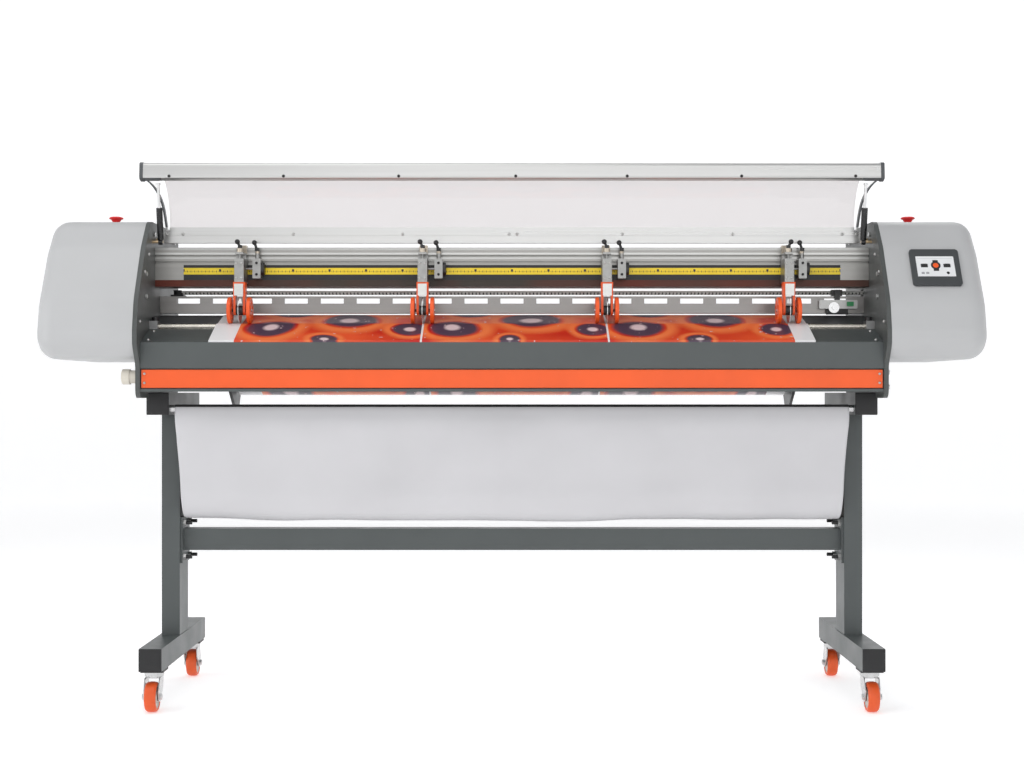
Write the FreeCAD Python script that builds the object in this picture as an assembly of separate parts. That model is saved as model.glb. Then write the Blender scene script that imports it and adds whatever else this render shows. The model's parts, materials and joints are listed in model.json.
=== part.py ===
import FreeCAD, Part
import math
import os

# Large-format printer cutter on a stand.  Millimetres, +Z up, the front faces -Y.
# The origin is on the floor, in the middle of the machine's width and depth.

V = FreeCAD.Vector
X_AXIS = V(1, 0, 0)
Y_AXIS = V(0, 1, 0)
Z_AXIS = V(0, 0, 1)

# ---- driving dimensions -------------------------------------------------------------
HALF_DEPTH = 341.0            # the front of the housings and the rear of the roll plates
TUBE = 60.0                   # square tube of the stand
TUBE_WALL = 3.0
FOOT_X = 949.0                # centre of the foot beams
FOOT_BOTTOM = 110.0
FOOT_HALF_LENGTH = 320.0
UPRIGHT_X = 946.0
UPRIGHT_WIDTH = 50.0
UPRIGHT_HALF_DEPTH = 60.0
BEAM_X = 958.0                # centre of the top beams
BEAM_BOTTOM = 782.0
BEAM_TOP = BEAM_BOTTOM + TUBE
BEAM_FRONT = -181.0
BEAM_REAR = 275.0
CAP = 5.0                     # thickness of the tube end caps
CROSSBAR_Z = 433.0
PLATE_IN = 979.0              # inner and outer faces of the side plates
PLATE_OUT = 991.0
HOUSING_OUT = 1250.0
HOUSING_BOTTOM = 930.0
HOUSING_WALL = 4.0
HOUSING_ROUND = 50.0
MACHINE_TOP = 1307.0
MACHINE_REAR = 215.0
CASTER_Y = 262.0              # swivel axes of the casters
WHEEL_R = 40.0
WHEEL_WIDTH = 30.0
TRAIL = 26.0
APRON_FRONT = -300.0
SHAFT_Y = -168.0
SHAFT_Z = 1020.6
SHAFT_R = 8.0
DISC_R = 35.5
AXLE_Z = 1065.0
WEB_HALF = 800.0
WEB_THICK = 0.3
ROLL_Y = 245.0
ROLL_Z = 925.0
ROLL_R = 90.0
CORE_R = 38.1
BEAM_FACE = -112.0            # front face of the cutter beam
UNIT_X = [-737.0, -242.0, 257.0, 749.0]
UNIT_LEAN = [-1, -1, -1, 1]   # the side to which each clamp lever leans
RUN = 0.3                     # clearance between sliding pieces
HINGE_Y = -95.0               # axis of the cover's hinge
HINGE_Z = 1262.0
STRUT_X = 955.0
STRUT_FOOT = (-149.0, 1252.0)
STRUT_HEAD = (-187.0, 1408.0)
STOP_X = 1097.0
STOP_Y = -60.0


# ---- helpers ------------------------------------------------------------------------
def block(x0, x1, y0, y1, z0, z1):
    return Part.makeBox(x1 - x0, y1 - y0, z1 - z0, V(x0, y0, z0))


def rod_x(x0, x1, y, z, r):
    return Part.makeCylinder(r, x1 - x0, V(x0, y, z), X_AXIS)


def rod_y(x, y0, y1, z, r):
    return Part.makeCylinder(r, y1 - y0, V(x, y0, z), Y_AXIS)


def rod_z(x, y, z0, z1, r):
    return Part.makeCylinder(r, z1 - z0, V(x, y, z0), Z_AXIS)


def rounded_wire(points, radius, x=0.0):
    """Closed outline in the YZ plane with every corner rounded by an arc (radius or list of radii)."""
    radii = radius if isinstance(radius, list) else [radius] * len(points)
    corners = [V(x, y, z) for y, z in points]
    edges = []
    last = None
    first = None
    for i, corner in enumerate(corners):
        before = corners[i - 1]
        after = corners[(i + 1) % len(corners)]
        to_before = (before - corner).normalize()
        to_after = (after - corner).normalize()
        half = to_before.getAngle(to_after) / 2.0
        setback = radii[i] / math.tan(half)
        start = corner + to_before * setback
        end = corner + to_after * setback
        middle = corner + (to_before + to_after).normalize() * (radii[i] / math.sin(half) - radii[i])
        if last is not None and (start - last).Length > 1e-6:
            edges.append(Part.makeLine(last, start))
        if radii[i] > 0:
            edges.append(Part.Arc(start, middle, end).toShape())
        first = first or start
        last = end
    if (first - last).Length > 1e-6:
        edges.append(Part.makeLine(last, first))
    return Part.Wire(edges)


def prism(points, x0, x1, radius=0.0):
    """Outline of (y, z) points, extruded along X from x0 to x1."""
    if radius:
        wire = rounded_wire(points, radius, x0)
    else:
        wire = Part.makePolygon([V(x0, y, z) for y, z in points + points[:1]])
    return Part.Face(wire).extrude(V(x1 - x0, 0, 0))


def band_outline(path, thick):
    """Outline of a bent sheet whose left side follows the path, with mitred corners."""
    normals = []
    for (y0, z0), (y1, z1) in zip(path, path[1:]):
        length = math.hypot(y1 - y0, z1 - z0)
        normals.append((-(z1 - z0) / length, (y1 - y0) / length))
    inner = []
    for i, (y, z) in enumerate(path):
        a = normals[max(i - 1, 0)]
        b = normals[min(i, len(normals) - 1)]
        scale = thick / (1.0 + a[0] * b[0] + a[1] * b[1])
        inner.append((y - (a[0] + b[0]) * scale, z - (a[1] + b[1]) * scale))
    return path + inner[::-1]


def sheet(path, thick, x0, x1):
    return prism(band_outline(path, thick), x0, x1)


def mirrored(shape):
    return shape.mirror(V(0, 0, 0), X_AXIS)


def on_side(shape, side):
    """The pieces are drawn on the right (+X); side -1 gives the left one."""
    return shape if side > 0 else mirrored(shape)


def hexagon_x(x0, x1, y, z, across):
    corner = across / math.sqrt(3.0)
    points = [(y + corner * math.cos(math.radians(60 * k)), z + corner * math.sin(math.radians(60 * k)))
              for k in range(6)]
    return prism(points, x0, x1)


def hollow(outer, inner):
    return outer.cut(inner)


def save(name, solids):
    shape = solids[0] if len(solids) == 1 else Part.makeCompound(solids)
    shape.exportStep("parts/%s.step" % name)


# ---- stand --------------------------------------------------------------------------
def square_tube_y(x, y0, y1, z0):
    outer = block(x - TUBE / 2, x + TUBE / 2, y0, y1, z0, z0 + TUBE)
    inner = block(x - TUBE / 2 + TUBE_WALL, x + TUBE / 2 - TUBE_WALL, y0, y1,
                  z0 + TUBE_WALL, z0 + TUBE - TUBE_WALL)
    return hollow(outer, inner)


def leg():
    """Foot beam, upright and top beam, with the two caster pads welded under the foot."""
    foot = square_tube_y(FOOT_X, -FOOT_HALF_LENGTH + CAP, FOOT_HALF_LENGTH - CAP, FOOT_BOTTOM)
    top = square_tube_y(BEAM_X, BEAM_FRONT + CAP, BEAM_REAR - CAP, BEAM_BOTTOM)
    half = UPRIGHT_WIDTH / 2
    z0 = FOOT_BOTTOM + TUBE
    outer = block(UPRIGHT_X - half, UPRIGHT_X + half, -UPRIGHT_HALF_DEPTH, UPRIGHT_HALF_DEPTH, z0, BEAM_BOTTOM)
    inner = block(UPRIGHT_X - half + TUBE_WALL, UPRIGHT_X + half - TUBE_WALL,
                  -UPRIGHT_HALF_DEPTH + TUBE_WALL, UPRIGHT_HALF_DEPTH - TUBE_WALL, z0, BEAM_BOTTOM)
    pads = [block(FOOT_X - 30, FOOT_X + 30, y - 34, y + 34, FOOT_BOTTOM - 6, FOOT_BOTTOM)
            for y in (-CASTER_Y, CASTER_Y)]
    return [foot, hollow(outer, inner), top] + pads


def end_caps():
    """Black plastic plugs that close both ends of the foot beams and top beams."""
    caps = []
    for side in (-1, 1):
        for x, z0, front, rear in ((FOOT_X, FOOT_BOTTOM, -FOOT_HALF_LENGTH, FOOT_HALF_LENGTH),
                                   (BEAM_X, BEAM_BOTTOM, BEAM_FRONT, BEAM_REAR)):
            for y0, plug0 in ((front, front + CAP), (rear - CAP, rear - CAP - 18)):
                face = block(x - TUBE / 2, x + TUBE / 2, y0, y0 + CAP, z0, z0 + TUBE)
                face = face.makeFillet(2.0, face.Edges)
                gap = TUBE_WALL + 0.2
                plug = block(x - TUBE / 2 + gap, x + TUBE / 2 - gap, plug0, plug0 + 18,
                             z0 + gap, z0 + TUBE - gap)
                caps.append(on_side(face.fuse(plug), side))
    return caps


def crossbar():
    """Tube between the uprights, with a bolted plate on each end."""
    half = TUBE / 2
    end = UPRIGHT_X - UPRIGHT_WIDTH / 2
    tube_end = end - 6
    outer = block(-tube_end, tube_end, -half, half, CROSSBAR_Z - half, CROSSBAR_Z + half)
    wall = half - TUBE_WALL
    inner = block(-tube_end, tube_end, -wall, wall, CROSSBAR_Z - wall, CROSSBAR_Z + wall)
    plates = []
    for side in (-1, 1):
        plate = block(tube_end, end, -52, 52, CROSSBAR_Z - 64, CROSSBAR_Z + 63)
        for y, z in crossbar_bolts():
            plate = plate.cut(rod_x(tube_end - 1, end + 1, y, z, 5.2))
        plates.append(on_side(plate, side))
    return [hollow(outer, inner)] + plates


def crossbar_bolts():
    return [(y, CROSSBAR_Z + dz) for y in (-38, 38) for dz in (-48, 47)]


def fasteners():
    """Bolts of the crossbar and side plates, and the hinge and strut pins of the cover."""
    solids = []
    face = UPRIGHT_X - UPRIGHT_WIDTH / 2 - 6
    for side in (-1, 1):
        for y, z in crossbar_bolts():
            head = hexagon_x(face - 8, face, y, z, 16).fuse(rod_x(face - 24, face, y, z, 5))
            shank = rod_x(face, face + 6, y, z, 5)
            solids.append(on_side(head.fuse(shank), side))
        for y, z in ((-225, 1160), (-225, 1100), (-120, 1275), (150, 1275), (190, 900)):
            solids.append(on_side(rod_x(PLATE_IN - 4, PLATE_IN, y, z, 6), side))
        solids.append(on_side(rod_x(945, PLATE_IN, HINGE_Y, HINGE_Z, 5), side))
        y, z = STRUT_FOOT
        solids.append(on_side(rod_x(STRUT_X - 6, PLATE_IN, y, z, 4), side))
    for z in (896, 857):
        solids.append(rod_x(PLATE_OUT, PLATE_OUT + 8, -272, z, 7))
    return solids


# ---- casters ------------------------------------------------------------------------
def placed_caster(shape, x, y):
    """Casters are drawn round their swivel axis, trailing to the rear; the front ones trail forwards."""
    if y < 0:
        shape = shape.mirror(V(0, 0, 0), Y_AXIS)
    shape.translate(V(x, y, 0))
    return shape


def caster_fork(x, y):
    """Swivel head, bridge and two rounded cheeks, with the axle bolt between them."""
    head = rod_z(0, 0, 92, FOOT_BOTTOM - 6 - RUN, 26).fuse(rod_z(0, 0, 89, 92, 20))
    outline = [(-22, 90), (26, 90), (TRAIL + 17, 55), (TRAIL + 12, 27), (TRAIL - 12, 27), (-16, 62)]
    radii = [6, 10, 15, 12, 12, 12]
    cheeks = [prism(outline, dx, dx + 2.5, radii) for dx in (-20.5, 18)]
    bridge = block(-20.5, 20.5, -15, 15, 86, 90)
    bolt = rod_x(-25, 25, TRAIL, WHEEL_R, 5)
    nuts = [hexagon_x(x0, x0 + 5.5, TRAIL, WHEEL_R, 15) for x0 in (-26, 20.5)]
    return [placed_caster(head.fuse([bridge, bolt] + cheeks + nuts), x, y)]


def caster_wheel(x, y):
    """Wheel with a crowned tread and a dished core, turned about its axle."""
    half = WHEEL_WIDTH / 2
    profile = [(5.05, -half - 1), (11, -half - 1), (13, -half + 4), (27, -half + 4), (30, -half),
               (36, -half), (39, -half + 4), (WHEEL_R, -4), (WHEEL_R, 4), (39, half - 4),
               (36, half), (30, half), (27, half - 4), (13, half - 4), (11, half + 1), (5.05, half + 1)]
    points = [V(dx, r, 0) for r, dx in profile]
    wheel = Part.Face(Part.makePolygon(points + points[:1])).revolve(V(0, 0, 0), X_AXIS, 360)
    wheel.translate(V(0, TRAIL, WHEEL_R))
    return [placed_caster(wheel, x, y)]


# ---- side plates and housings -------------------------------------------------------
def upper_profile():
    """Outline that the plates and housings share above the housings' lower edge."""
    points = [(-162, MACHINE_TOP), (-234, 1231), (-322, 1086), (-HALF_DEPTH, 1006), (-HALF_DEPTH, 968)]
    return points, [40, 120, 120, 50, 40]


def side_plate(side):
    upper, upper_radii = upper_profile()
    lower = [(-303, 915), (-303, 828), (-196, 828), (-196, BEAM_TOP), (MACHINE_REAR, BEAM_TOP),
             (MACHINE_REAR, MACHINE_TOP)]
    plate = prism(upper + lower, PLATE_IN, PLATE_OUT, upper_radii + [40, 22, 10, 3, 12, 30])
    if side > 0:
        plate = plate.cut(rod_x(PLATE_IN - 1, PLATE_OUT + 1, SHAFT_Y, SHAFT_Z, 9.5))
        plate = plate.cut(block(PLATE_IN - 1, PLATE_OUT + 1, -38, -2, 1111, 1131))
    return [on_side(plate, side)]


def housing_body(grow, x0, x1, round_r):
    """Closed moulded body: the shared profile shrunk by -grow, its outer edges rounded."""
    upper, upper_radii = upper_profile()
    points = upper + [(-300, HOUSING_BOTTOM), (MACHINE_REAR, HOUSING_BOTTOM), (MACHINE_REAR, MACHINE_TOP)]
    face = Part.Face(rounded_wire(points, [60] + upper_radii[1:] + [52, 55, 55], x0))
    if grow:
        face = face.makeOffset2D(grow)
    body = face.extrude(V(x1 - x0, 0, 0))
    rim = [e for e in body.Edges if abs(e.BoundBox.XMin - x1) < 1e-4 and abs(e.BoundBox.XMax - x1) < 1e-4]
    return body.makeFillet(round_r, rim)


def housing(side):
    x0 = PLATE_OUT + 0.2
    outer = housing_body(0, x0, HOUSING_OUT, HOUSING_ROUND)
    inner = housing_body(-HOUSING_WALL, x0 - 1, HOUSING_OUT - HOUSING_WALL, HOUSING_ROUND - HOUSING_WALL)
    shell = outer.cut(inner)
    shell = shell.cut(rod_z(STOP_X, STOP_Y, MACHINE_TOP - 20, MACHINE_TOP + 5, 11.5))
    if side > 0:
        shell = shell.cut(block(1096, 1124, MACHINE_REAR - 10, MACHINE_REAR + 5, 1000, 1048))
    return [on_side(shell, side)]


def slope_piece(x0, x1, along0, along1, lift0, lift1, round_r):
    """Box that lies on the sloping front of the right housing, placed along and above the slope."""
    origin = V(0, -270.4, 1171)
    along = V(0, 88, 145).normalize()
    out = V(0, -145, 88).normalize()
    box = block(x0, x1, along0, along1, lift0, lift1)
    if round_r:
        box = box.makeFillet(round_r, [e for e in box.Edges if abs(e.tangentAt(e.FirstParameter).z) > 0.9])
    matrix = FreeCAD.Matrix(1, 0, 0, origin.x, 0, along.y, out.y, origin.y, 0, along.z, out.z, origin.z)
    return box.transformGeometry(matrix)


def control_panel():
    """Bezel with a raised membrane and its keys, on the sloping front of the right housing."""
    centre = 1121.0
    bezel = slope_piece(centre - 65, centre + 65, -58, 58, 0.3, 7, 9)
    membrane = slope_piece(centre - 50, centre + 50, -30, 34, 7, 8, 3)
    keys = [slope_piece(centre + dx - w / 2, centre + dx + w / 2, dz - h / 2, dz + h / 2, 8, 9, h * 0.45)
            for dx, dz, w, h in ((0, 4, 34, 34), (-30, 4, 18, 11), (30, 4, 18, 11), (30, -20, 8, 8),
                                 (-36, -20, 8, 6), (-24, -20, 8, 6))]
    return [bezel, membrane] + keys


def stop_button(side):
    """Mushroom head above the housing, on a stem through its top."""
    stem = rod_z(STOP_X, STOP_Y, MACHINE_TOP - 22, MACHINE_TOP + 9, 11)
    head = rod_z(STOP_X, STOP_Y, MACHINE_TOP + 8, MACHINE_TOP + 23, 19.5)
    head = head.makeFillet(5, [head.Edges[0]])
    return [on_side(stem.fuse(head), side)]


def side_knob():
    """Two-step knob on the outer face of the left plate."""
    neck = rod_x(PLATE_OUT + 0.5, PLATE_OUT + 20, -270, 884, 17.5)
    grip = rod_x(PLATE_OUT + 20, PLATE_OUT + 41, -270, 884, 20.5)
    grip = grip.makeFillet(2.5, grip.Edges[:1])
    return [mirrored(neck.fuse(grip))]


def inner_motors():
    """Motor of the drive shaft and motor of the crosswise belt, in the right housing."""
    drive = block(1042, 1130, SHAFT_Y - 40, SHAFT_Y + 40, SHAFT_Z - 40, SHAFT_Z + 40)
    drive = drive.makeFillet(6, drive.Edges)
    cross = block(999, 1041, -41, 1, 1050, 1112)
    cross = cross.makeFillet(4, cross.Edges)
    return [drive, cross.fuse(rod_z(1020, -20, 1112, 1115.5, 4))]


def power_inlet():
    """Mains inlet module in the rear wall of the right housing."""
    flange = block(1092, 1128, MACHINE_REAR + 0.2, MACHINE_REAR + 3, 995, 1053)
    body = block(1097, 1123, MACHINE_REAR - 25, MACHINE_REAR + 0.2, 1001, 1047)
    socket = block(1100, 1120, MACHINE_REAR - 15, MACHINE_REAR + 4, 1006, 1028)
    pins = [block(x - 1, x + 1, MACHINE_REAR - 15, MACHINE_REAR - 1, 1014, 1020) for x in (1104, 1110, 1116)]
    return [flange.fuse(body).cut(socket).fuse(pins)]


# ---- table and band -----------------------------------------------------------------
def front_apron():
    """Folded front sheet: sloping table, then the front panel with the slot between them."""
    table = sheet([(-293, 955), (-293, 977), (-190, 1013.6)], 2.0, -978.5, 978.5)
    panel = sheet([(-215, 848), (-215, 845), (APRON_FRONT, 845), (APRON_FRONT, 852), (-289, 852),
                   (-289, 906), (APRON_FRONT, 906), (APRON_FRONT, 975)], 2.0, -978.5, 978.5)
    webs = [block(x - 2, x + 2, -291, -289.0, 906, 955) for x in (-900, 0, 900)]
    return [table, panel] + webs


def orange_band():
    bar = block(-976, 976, -297, -291.2, 854.4, 903)
    return [bar.makeFillet(1.5, [e for e in bar.Edges if abs(e.tangentAt(e.FirstParameter).x) > 0.9])]


def shaft_bearings():
    """Two blocks that hold the ends of the drive shaft, each with a round clamping knob on top."""
    solids = []
    for side in (-1, 1):
        body = block(956, PLATE_IN - 0.4, SHAFT_Y - 20, SHAFT_Y + 20, 1002, 1036)
        body = body.cut(rod_x(950, PLATE_IN + 1, SHAFT_Y, SHAFT_Z, SHAFT_R + 0.06))
        knob = rod_z(966, SHAFT_Y, 1036, 1047, 9)
        knob = knob.makeFillet(2, [knob.Edges[0]])
        solids += [on_side(body, side), on_side(knob, side)]
    return solids


def drive_shaft():
    """Driven shaft; its right end reaches the motor through the side plate."""
    shaft = rod_x(-PLATE_IN + 1, 1041, SHAFT_Y, SHAFT_Z, SHAFT_R)
    for x in range(-900, 901, 20):
        groove = rod_x(x, x + 1.5, SHAFT_Y, SHAFT_Z, SHAFT_R + 1)
        shaft = shaft.cut(groove.cut(rod_x(x, x + 1.5, SHAFT_Y, SHAFT_Z, SHAFT_R - 0.4)))
    return [shaft]


def media_bed():
    """Bed plate behind the shaft, with the fixed lower knife let into its crosswise slot."""
    front = sheet([(-146, 1030.4), (-60, 1053.0), (-60, 1035)], 2.0, -978.5, 978.5)
    rear = sheet([(-40, 1035), (-40, 1057), (146, 1057), (146, 1000)], 2.0, -978.5, 978.5)
    knife = block(-978.5, 978.5, -56, -44, 1030, 1048)
    return [front, rear, knife]


def cross_rail():
    """Aluminium guide of the crosswise cutter, with arched windows along its upper flange."""
    beam = block(-978.5, 978.5, -45, -5, 1063, 1085)
    beam = beam.cut(block(-978.5, 978.5, -41, -9, 1067, 1081))
    flange = block(-978.5, 978.5, -45, -41, 1085, 1110)
    for x in range(-900, 901, 100):
        flange = flange.cut(block(x - 32, x + 32, -46, -40, 1090, 1104))
    return [beam.fuse(flange)]


def stadium(x0, x1, y, z0, z1, r):
    middle = block(x0, x1, y - r, y + r, z0, z1)
    return middle.fuse([rod_z(x0, y, z0, z1, r), rod_z(x1, y, z0, z1, r)]).removeSplitter()


def cross_belt():
    """Toothed belt of the crosswise cutter round its two pulleys, and the left pulley bracket."""
    left = -935
    right = 1020
    y = -20
    belt = stadium(left, right, y, 1116, 1126, 10.5).cut(stadium(left, right, y, 1116, 1126, 9.0))
    pulleys = [rod_z(x, y, 1116, 1126, 9).fuse(rod_z(x, y, 1126.3, 1128, 12)).fuse(rod_z(x, y, 1115.5, 1128, 5))
               for x in (left, right)]
    bracket = block(left - 16, left + 19, -38, 8, 1110, 1115)
    return [belt, bracket] + pulleys


def cross_carriage():
    """Carriage of the crosswise cutter: face plate, black blade holder, belt clamp and plug."""
    x0, x1 = 852.0, 958.0
    plate = block(x0, x1, -60, -46 + 0.5 * RUN, 1075, 1099)
    plate = plate.makeFillet(3, [e for e in plate.Edges if abs(e.tangentAt(e.FirstParameter).y) > 0.9])
    holder = block(x0 + 20, x1 - 26, -60, -47, 1059, 1075)
    clamp = block(x0 + 36, x0 + 66, -48, -32.0, 1111, 1128).fuse(block(x0 + 44, x0 + 58, -58, -46, 1095, 1128))
    blade = rod_y(x0 + 40, -64, -62, 1078, 15)
    hub = rod_y(x0 + 40, -68, -60, 1078, 6)
    plug = block(x1 - 30, x1 - 12, -68, -60, 1082, 1094)
    return [plate.fuse([holder, clamp]), blade.fuse(hub), plug]


# ---- cutter beam and cutting units --------------------------------------------------
def cutter_beam():
    """Extruded beam: hollow core, two T-slots in its front face and one in its top."""
    outer = block(-978.5, 978.5, BEAM_FACE, -20, 1133, 1240)
    beam = outer.cut(block(-978.5, 978.5, BEAM_FACE + 18, -24, 1137, 1224))
    for z in (1214, 1196):
        beam = beam.cut(block(-978.5, 978.5, BEAM_FACE, BEAM_FACE + 4, z, z + 6))
        beam = beam.cut(block(-978.5, 978.5, BEAM_FACE + 4, BEAM_FACE + 8, z - 2, z + 8))
    beam = beam.cut(block(-978.5, 978.5, -70, -62, 1234, 1240))
    return [beam]


def ruler():
    """Black backing strip on the beam and the ruler tape on it."""
    backing = block(-900, 900, BEAM_FACE - 1.5, BEAM_FACE, 1151, 1192)
    tape = block(-900, 900, BEAM_FACE - 2.0, BEAM_FACE - 1.5, 1166, 1184)
    return [backing, tape]


def unit_carrier(x):
    """Clamped block, top bracket and nut, and the lock block with its fine-adjusting rod and knob."""
    front = -150.0
    back = BEAM_FACE - 2.0 - RUN
    body = block(x - 13, x + 13, front, back, 1141, 1216)
    bracket = block(x - 11, x + 11, -182, back, 1216, 1222)
    hook = block(x - 11, x + 11, back - 1, -98, 1240 + RUN, 1245).fuse(
        block(x - 11, x + 11, back - 8, back, 1216, 1245))
    nut = rod_z(x, SHAFT_Y, 1222, 1233, 9)
    bore = rod_z(x, SHAFT_Y, 1214, 1235, 3.6)
    upper = body.fuse([bracket, hook, nut]).cut(bore)
    lock = block(x + 31, x + 53, front, back, 1153, 1207)
    lock = lock.makeFillet(2, [e for e in lock.Edges if abs(e.tangentAt(e.FirstParameter).y) > 0.9])
    lock = lock.fuse(rod_z(x + 42, -132, 1207, 1228, 6))
    lock_lever = clamp_lever(x + 42, -140, 1228, UNIT_LEAN[0])
    rod = rod_x(x + 13, x + 31, -133, 1180, 3)
    knob = rod_x(x + 53, x + 62, -133, 1180, 17.4)
    knob = knob.makeFillet(1.5, [knob.Edges[0]])
    return [upper, lock, lock_lever, rod, knob]


def clamp_lever(x, y, z, lean):
    """Hub, slanting arm and ball of a clamp lever that turns about a vertical axis."""
    hub = rod_z(x, y, z + RUN, z + 9, 6)
    ball_at = V(x + 7 * lean, y, 1251)
    foot = V(x, y, z + 4)
    arm = Part.makeCylinder(3.5, (ball_at - foot).Length, foot, ball_at - foot)
    ball = Part.makeSphere(7, ball_at)
    return hub.fuse([arm, ball])


def unit_head(x):
    """Sliding block, the small block with two screws, and the orange fork that holds the axle."""
    body = block(x - 13, x + 13, -186, -150 - RUN, 1141, 1204)
    body = body.makeFillet(1.5, [e for e in body.Edges if abs(e.tangentAt(e.FirstParameter).z) > 0.9])
    stud = rod_z(x, SHAFT_Y, 1204, 1222, 3)
    crown = block(x - 16, x + 16, -184, -152, 1128, 1141)
    legs = [prism([(-184, 1128), (-152, 1128), (-156, 1052), (-180, 1052)], x0, x0 + 6, [1, 1, 11, 11])
            for x0 in (x - 16, x + 10)]
    fork = crown.fuse(legs)
    fork = fork.cut(rod_x(x - 20, x + 20, SHAFT_Y, AXLE_Z, 4.05))
    pad = block(x - 12, x + 12, -192, -184, 1104, 1136)
    screws = [rod_y(x + dx, -194, -192, 1120, 3) for dx in (-6, 6)]
    return [body.fuse(stud), fork, pad.fuse(screws)]


def unit_wheels(x):
    """Two spoked pinch discs and the round blade on one axle."""
    axle = rod_x(x - 34, x + 34, SHAFT_Y, AXLE_Z, 4)
    discs = []
    for x0 in (x - 31.5, x + 21.5):
        disc = rod_x(x0, x0 + 10, SHAFT_Y, AXLE_Z, DISC_R)
        disc = disc.makeFillet(1.2, [e for e in disc.Edges if e.Curve.TypeId == "Part::GeomCircle"])
        for k in range(5):
            angle = math.radians(72 * k + 18)
            hole_y = SHAFT_Y + 21 * math.cos(angle)
            hole_z = AXLE_Z + 21 * math.sin(angle)
            disc = disc.cut(rod_x(x0 - 1, x0 + 11, hole_y, hole_z, 7.5))
        discs.append(disc)
    blade = rod_x(x - 0.75, x + 0.75, SHAFT_Y, AXLE_Z, DISC_R - 0.2)
    hubs = rod_x(x - 9, x + 9, SHAFT_Y, AXLE_Z, 13)
    return [axle.fuse(discs + [blade, hubs])]


# ---- cover --------------------------------------------------------------------------
def cover_arc(offset):
    """Arc of the clear sheet, shifted outwards by offset; it bulges to the rear when open."""
    start = V(0, -97, 1288)
    end = V(0, -196, 1425)
    chord = (end - start).normalize()
    normal = V(0, chord.z, -chord.y)
    middle = (start + end) * 0.5 + normal * 30
    return Part.Arc(start + normal * offset, middle + normal * offset, end + normal * offset)


def cover_band(x0, x1, inner, outer):
    a = cover_arc(inner)
    b = cover_arc(outer)
    edges = [a.toShape(), Part.makeLine(a.EndPoint, b.EndPoint), b.toShape(),
             Part.makeLine(b.StartPoint, a.StartPoint)]
    face = Part.Face(Part.Wire(Part.__sortEdges__(edges)))
    face.translate(V(x0, 0, 0))
    return face.extrude(V(x1 - x0, 0, 0))


def cover_sheet():
    return [cover_band(-940, 940, -1.5, 1.5)]


def cover_arm():
    """Curved side arm that flares outwards to the end of the handle."""
    def edge(shift):
        curve = Part.BSplineCurve()
        curve.interpolate([V(x + shift, -300, z) for x, z in
                           ((950, 1286), (956, 1330), (964, 1375), (978, 1405), (994, 1420))])
        return curve
    inner = edge(-5)
    outer = edge(0)
    edges = [inner.toShape(), Part.makeLine(inner.EndPoint, outer.EndPoint), outer.toShape(),
             Part.makeLine(outer.StartPoint, inner.StartPoint)]
    front_view = Part.Face(Part.Wire(Part.__sortEdges__(edges))).extrude(V(0, 300, 0))
    return front_view.common(cover_band(930, 1010, -9, 9))


def cover_frame():
    """Hinge rail, clamping strip, handle rail with its end caps, and the two side arms."""
    rail = block(-956, 956, -107, -83, 1253, 1283)
    rail = rail.cut(block(-956, 956, -107, -105, 1270, 1274))
    strip = block(-940, 940, -105, -99.5, 1283, 1296)
    rail = rail.fuse(strip)
    for x0 in (-957, 940):
        rail = rail.cut(rod_x(x0, x0 + 17, HINGE_Y, HINGE_Z, 5.05))
    outline = [(-214, 1418), (-192, 1412), (-186, 1420), (-184, 1452), (-194, 1461), (-210, 1458)]
    handle = prism(outline, -990, 990, [8, 3, 5, 7, 6, 8])
    core = [(-211, 1422), (-190, 1429), (-187, 1450), (-195, 1457), (-207, 1455)]
    handle = handle.cut(prism(core, -990, 990))
    slot = prism([(-195, 1409), (-191, 1409), (-191, 1426), (-195, 1426)], -950, 950)
    solids = [rail.cut(cover_sheet()[0]), handle.cut(slot).cut(cover_sheet()[0])]
    wide = [(-215, 1416), (-190, 1410), (-184, 1420), (-182, 1454), (-193, 1463), (-211, 1460)]
    for side in (-1, 1):
        cap = prism(wide, 990, 1000, [9, 4, 6, 8, 7, 9])
        solids += [on_side(cap, side), on_side(cover_arm(), side)]
    return solids


def strut_frame():
    """Direction and length of the gas strut, from its foot to its head."""
    foot = V(STRUT_X, *STRUT_FOOT)
    head = V(STRUT_X, *STRUT_HEAD)
    return foot, (head - foot).normalize(), (head - foot).Length


def strut_cylinder(side):
    """Black cylinder with the eye that turns on the foot pin."""
    foot, along, _ = strut_frame()
    eye = rod_x(STRUT_X - 6, STRUT_X + 6, foot.y, foot.z, 8)
    body = Part.makeCylinder(8.5, 87, foot + along * 6, along)
    bore = Part.makeCylinder(4.05, 80, foot + along * 14, along)
    shape = eye.fuse(body).cut(bore).cut(rod_x(STRUT_X - 20, STRUT_X + 20, foot.y, foot.z, 4.05))
    return [on_side(shape, side)]


def strut_rod(side):
    """Bright rod that slides in the cylinder, with the fitting that meets the cover's arm."""
    foot, along, length = strut_frame()
    rod = Part.makeCylinder(4.0, length - 80, foot + along * 80, along)
    end = Part.makeCylinder(6.5, 6, foot + along * (length - 6), along)
    return [on_side(rod.fuse(end), side)]


# ---- basket and roll ----------------------------------------------------------------
FRONT_ROD = (-157.0, 799.0)
REAR_ROD = (200.0, 760.0)
ROD_R = 10.0


def basket_rods():
    """Front and rear rods; the front one is held by the top beams, the rear one by two hangers."""
    end = BEAM_X - TUBE / 2
    front = rod_x(-end, end, *FRONT_ROD, ROD_R)
    rear = rod_x(-end, end, *REAR_ROD, ROD_R)
    hangers = [block(s * end - 3, s * end + 3, 188, 212, 745, BEAM_BOTTOM) for s in (-1, 1)]
    return [front, rear] + [h.cut(rear) for h in hangers]


def basket_fabric():
    """Fabric sling that hangs between the two rods, open at both ends and above."""
    path = [(-170, 806), (-170, 760), (-152, 712), (-116, 622), (-99, 555), (-70, 505), (-20, 489),
            (60, 505), (130, 575), (175, 670), (213, 745), (213, 768)]
    return [sheet(path, -3.0, -915, 915)]


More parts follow.
